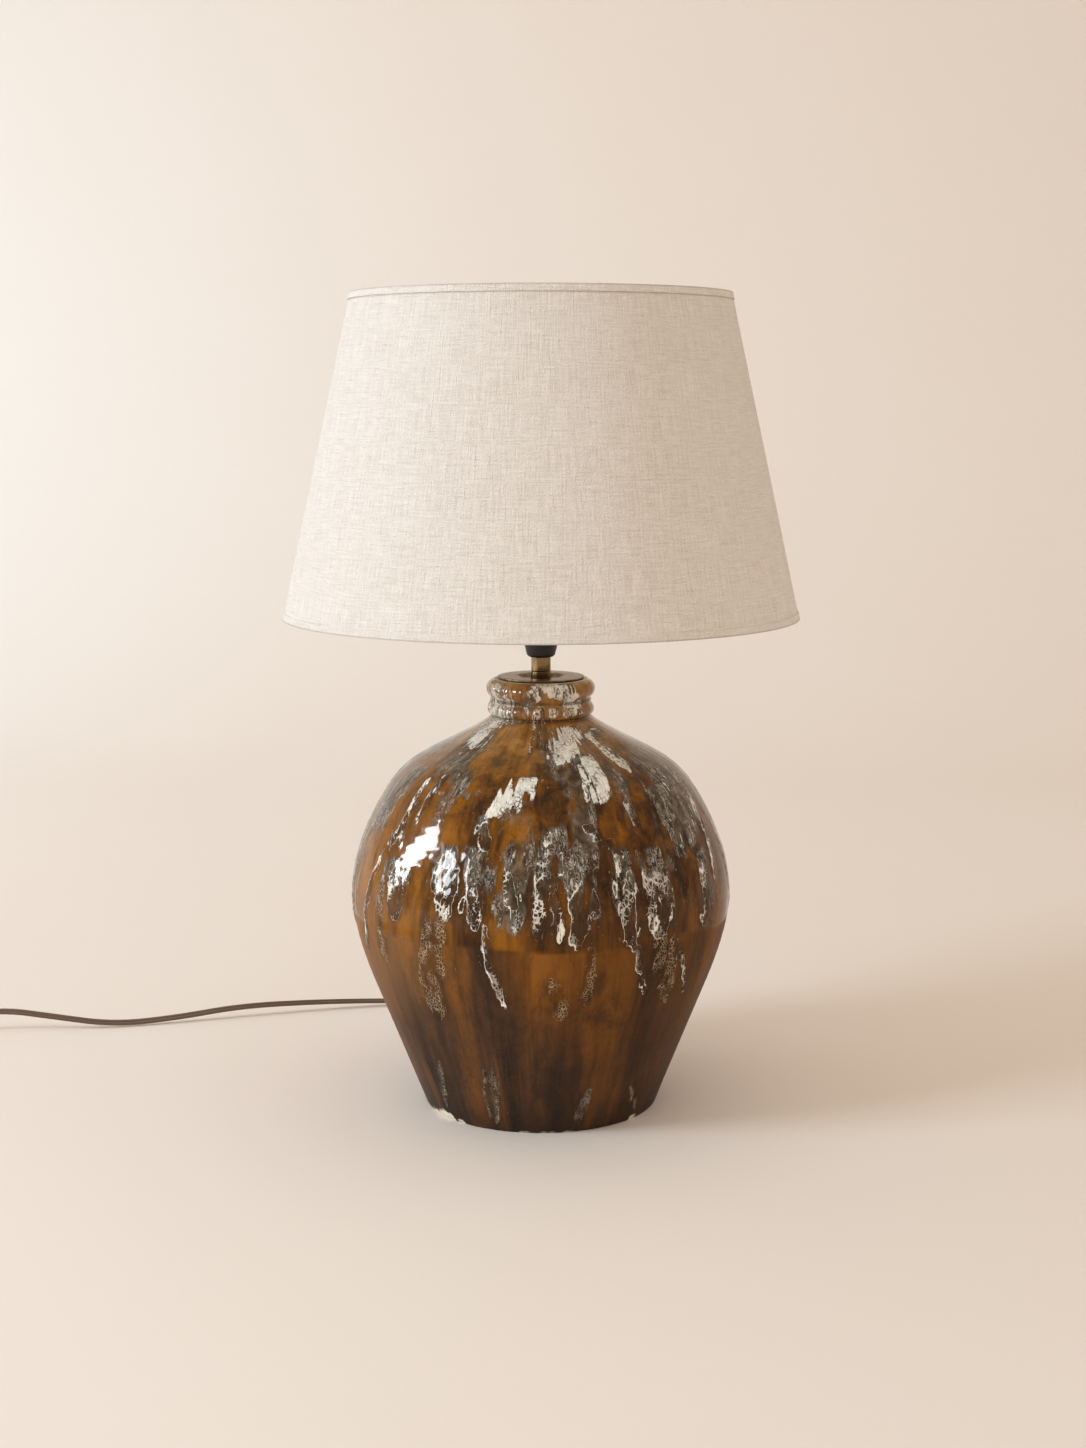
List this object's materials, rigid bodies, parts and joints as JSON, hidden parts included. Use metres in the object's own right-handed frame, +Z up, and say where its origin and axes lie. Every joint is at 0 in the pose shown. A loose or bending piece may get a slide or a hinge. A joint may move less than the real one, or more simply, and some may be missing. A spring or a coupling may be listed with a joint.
{
  "type": "ceramic table lamp",
  "caption": "Table lamp with a drip-glazed ceramic jar base, brass cap and sleeve, black screw bulb holder, tapered linen shade on a wire frame, and a flat cord with in-line switch and plug.",
  "frame": {"origin": "centre of the jar's foot on the table", "axes": "+Z up the lamp's axis, -Y the side the picture shows, cord towards -X"},
  "size_m": [0.7835, 0.4546, 0.633],
  "materials": {
    "glaze": "glossy drip glaze, satin towards the foot",
    "antique_brass": "dull antique brass",
    "zinc_steel": "zinc plated",
    "black_plastic": "matt black",
    "porcelain": "unglazed white",
    "contact_brass": "bright",
    "bulb_metal": "rolled thread",
    "bulb_glass": "opal white",
    "bulb_insulator": "black glass",
    "linen": "oatmeal slub linen",
    "liner": "white film",
    "white_wire": "white coated",
    "felt": "soft washer",
    "brown_rubber": "satin",
    "brown_cord": "satin brown",
    "brown_plastic": "glossy brown",
    "nickel": "nickel plated"
  },
  "bodies": {
    "base": {"ceramic_jar": "glaze", "cord_grommet": "brown_rubber", "cap_gasket": "felt", "vase_cap": "antique_brass", "threaded_tube": "zinc_steel", "lock_collar": "antique_brass", "neck_sleeve": "antique_brass", "toggle_bar": "zinc_steel", "toggle_washer": "zinc_steel", "toggle_nut": "zinc_steel", "holder_cap": "black_plastic", "holder_lock_screw": "black_plastic", "holder_barrel": "black_plastic", "holder_insert": "porcelain", "screw_shell": "contact_brass", "centre_contact": "contact_brass", "holder_terminals": "contact_brass", "terminal_screws": "zinc_steel", "shade_ring": "black_plastic", "inner_cord": "brown_cord", "cord_cores": "brown_cord", "cord_lead": "brown_cord", "cord_middle": "brown_cord", "cord_coil": "brown_cord", "coil_tie": "black_plastic", "cord_tail": "brown_cord", "switch_lower_shell": "brown_plastic", "switch_upper_shell": "brown_plastic", "switch_pivot_pin": "zinc_steel", "switch_screws": "zinc_steel", "switch_terminals": "contact_brass", "plug_body": "brown_plastic", "plug_pins": "nickel"},
    "shade": {"shade_linen": "linen", "shade_liner": "liner", "top_ring": "white_wire", "bottom_frame": "white_wire", "top_hem": "linen", "bottom_hem": "linen"},
    "bulb_carriage": {"bulb_tip": "zinc_steel"},
    "bulb": {"bulb_insulator": "bulb_insulator", "bulb_cap": "bulb_metal", "bulb_glass": "bulb_glass"},
    "rocker": {"switch_rocker": "brown_plastic"}
  },
  "joints": [
    {"name": "shade_turn", "type": "hinge", "parent": "base", "child": "shade", "pos_m": [0, 0, 0.391], "axis": [0, 0, 1], "continuous": true},
    {"name": "bulb_lift", "type": "slide", "parent": "base", "child": "bulb_carriage", "axis": [0, 0, 1], "range_m": [0, 0.02]},
    {"name": "bulb_turn", "type": "hinge", "parent": "bulb_carriage", "child": "bulb", "pos_m": [0, 0, 0.402], "axis": [0, 0, 1], "range_deg": [0, 1980]},
    {"name": "rocker_tip", "type": "hinge", "parent": "base", "child": "rocker", "pos_m": [-0.566, 0.07, 0.0126], "axis": [1, 0, 0], "range_deg": [0, 14]}
  ],
  "couplings": [
    {"joint": "bulb_lift", "follows": "bulb_turn", "m_per_rad": 0.00057757}
  ]
}
